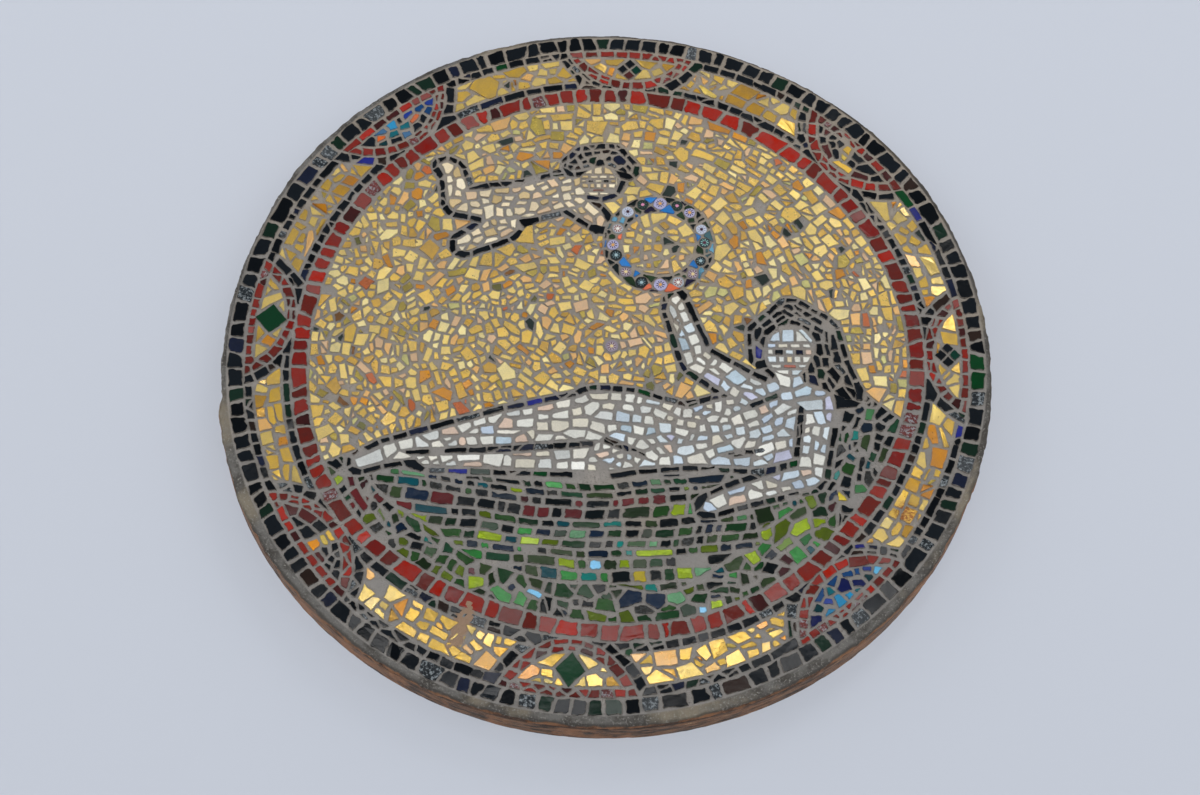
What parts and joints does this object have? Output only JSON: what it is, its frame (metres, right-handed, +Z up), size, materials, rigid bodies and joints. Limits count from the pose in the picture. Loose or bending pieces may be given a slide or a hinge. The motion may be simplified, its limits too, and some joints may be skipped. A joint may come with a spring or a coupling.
{
  "type": "mosaic panel",
  "caption": "Round wall panel: glass and ceramic mosaic picture in cement mortar, with a ring border, held by an iron hoop.",
  "frame": {"origin": "middle of the flat back, at the centre of the iron hoop", "axes": "+X to the viewer's right, +Z up, +Y into the wall; the tiled face looks along -Y"},
  "size_m": [0.769, 0.0368, 0.769],
  "materials": {
    "hoop_iron": "rusty flat iron band",
    "mortar": "rough cement mortar",
    "black_glass": "gloss black and very dark tiles",
    "red_glass": "gloss brick-red and maroon tiles",
    "gold_glass": "gold-backed glass tiles",
    "blue_glass": "gloss blue and turquoise tiles",
    "green_glass": "gloss dark-green glass",
    "bank_glass": "mixed green, teal and black glass",
    "white_ceramic": "white and bluish-white tiles",
    "cream_ceramic": "cream tiles",
    "round_slices": "patterned round glass slices"
  },
  "bodies": {
    "root": {"iron_hoop": "hoop_iron", "mortar_bed": "mortar", "outer_course": "black_glass", "red_ring": "red_glass", "medallion_outline_1": "red_glass", "medallion_fill_1": "gold_glass", "diamond_1": "green_glass", "gold_panel_1": "gold_glass", "dark_frame_1": "black_glass", "medallion_outline_2": "red_glass", "medallion_fill_2": "black_glass", "gold_panel_2": "gold_glass", "dark_frame_2": "black_glass", "medallion_outline_3": "red_glass", "medallion_fill_3": "gold_glass", "diamond_3": "green_glass", "gold_panel_3": "gold_glass", "dark_frame_3": "black_glass", "medallion_outline_4": "red_glass", "medallion_fill_4": "blue_glass", "gold_panel_4": "gold_glass", "dark_frame_4": "black_glass", "medallion_outline_5": "red_glass", "medallion_fill_5": "gold_glass", "diamond_5": "green_glass", "gold_panel_5": "gold_glass", "dark_frame_5": "black_glass", "medallion_outline_6": "red_glass", "medallion_fill_6": "black_glass", "gold_panel_6": "gold_glass", "dark_frame_6": "black_glass", "medallion_outline_7": "red_glass", "medallion_fill_7": "gold_glass", "diamond_7": "green_glass", "gold_panel_7": "gold_glass", "dark_frame_7": "black_glass", "medallion_outline_8": "red_glass", "medallion_fill_8": "blue_glass", "gold_panel_8": "gold_glass", "dark_frame_8": "black_glass", "gold_ground": "gold_glass", "green_bank": "bank_glass", "reclining_figure": "white_ceramic", "reclining_hair": "black_glass", "flying_child": "cream_ceramic", "child_hair": "black_glass", "wreath": "round_slices", "wreath_ground": "gold_glass"}
  },
  "joints": []
}
